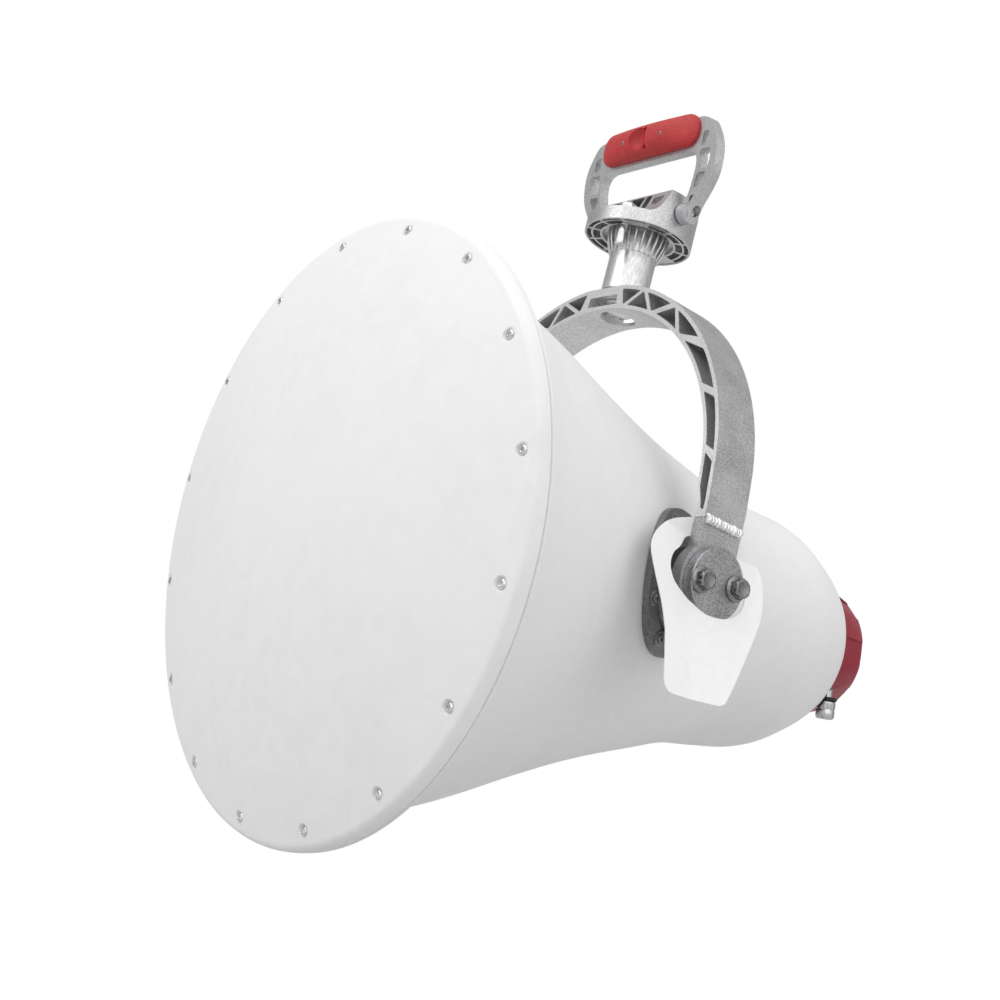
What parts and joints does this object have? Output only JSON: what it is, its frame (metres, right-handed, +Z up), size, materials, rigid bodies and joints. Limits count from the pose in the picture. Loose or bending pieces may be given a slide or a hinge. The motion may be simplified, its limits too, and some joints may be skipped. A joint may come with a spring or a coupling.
{
  "type": "horn antenna",
  "caption": "White bell-shaped horn antenna with a domed round cover, pivoted in a ribbed cast arch under a round head flange with a red lifting handle and a red twist cap.",
  "frame": {"origin": "on the flat underside of the head flange, at the front of its rim, straight in front of the stem", "axes": "+Z up along the stem, -Y the way the horn opens, +X along the pivot towards the side with the tag"},
  "size_m": [0.44, 0.5486, 0.6235],
  "materials": {
    "cover": "satin white moulding",
    "bell": "satin white paint over a spun bell",
    "port": "turned",
    "cap": "dark crimson moulding",
    "plunger": "machined",
    "gasket": "matt black",
    "arch": "grainy casting",
    "lug": "grainy casting",
    "weld": "bright ripples",
    "stem": "smooth satin",
    "collar": "machined flutes",
    "stem_bolt": "bright",
    "head": "satin casting",
    "lock_bolt": "bright",
    "handle": "satin casting",
    "pin": "bright",
    "grip": "red, fine texture",
    "trunnion": "dark casting",
    "clamp": "dark grey casting",
    "pivot_bolt": "dark polished steel",
    "tag": "blank white card"
  },
  "bodies": {
    "yoke": {"yoke_arch": "arch", "yoke_lug_right": "lug", "yoke_lug_left": "lug", "weld_bead_right": "weld", "weld_bead_left": "weld", "stem_tube": "stem", "spline_collar": "collar", "stem_bolt": "stem_bolt", "stem_bolt_washer": "stem_bolt", "head_casting": "head", "lock_bolt": "lock_bolt", "lock_bolt_nut": "lock_bolt", "handle_pin_right": "pin", "handle_pin_left": "pin", "hang_tag": "tag"},
    "horn": {"horn_shell": "bell", "aperture_cover": "cover", "port_plate": "port", "twist_cap": "cap", "lock_plunger": "plunger", "plunger_gasket": "gasket", "trunnion_flange_right": "trunnion", "trunnion_flange_left": "trunnion", "clamp_disc_right": "clamp", "clamp_disc_left": "clamp", "pivot_bolt_right_front": "pivot_bolt", "pivot_bolt_right_rear": "pivot_bolt", "pivot_bolt_left_front": "pivot_bolt", "pivot_bolt_left_rear": "pivot_bolt"},
    "handle": {"handle_frame": "handle", "grip_front": "grip", "grip_back": "grip"}
  },
  "joints": [
    {"name": "horn_elevation", "type": "hinge", "parent": "yoke", "child": "horn", "pos_m": [0, 0.0403, -0.282], "axis": [1, 0, 0], "range_deg": [-31.8, 18.2]},
    {"name": "handle_hinge", "type": "hinge", "parent": "yoke", "child": "handle", "pos_m": [0, 0.0428, 0.018], "axis": [1, 0, 0], "range_deg": [-87.5, 62.5]}
  ]
}
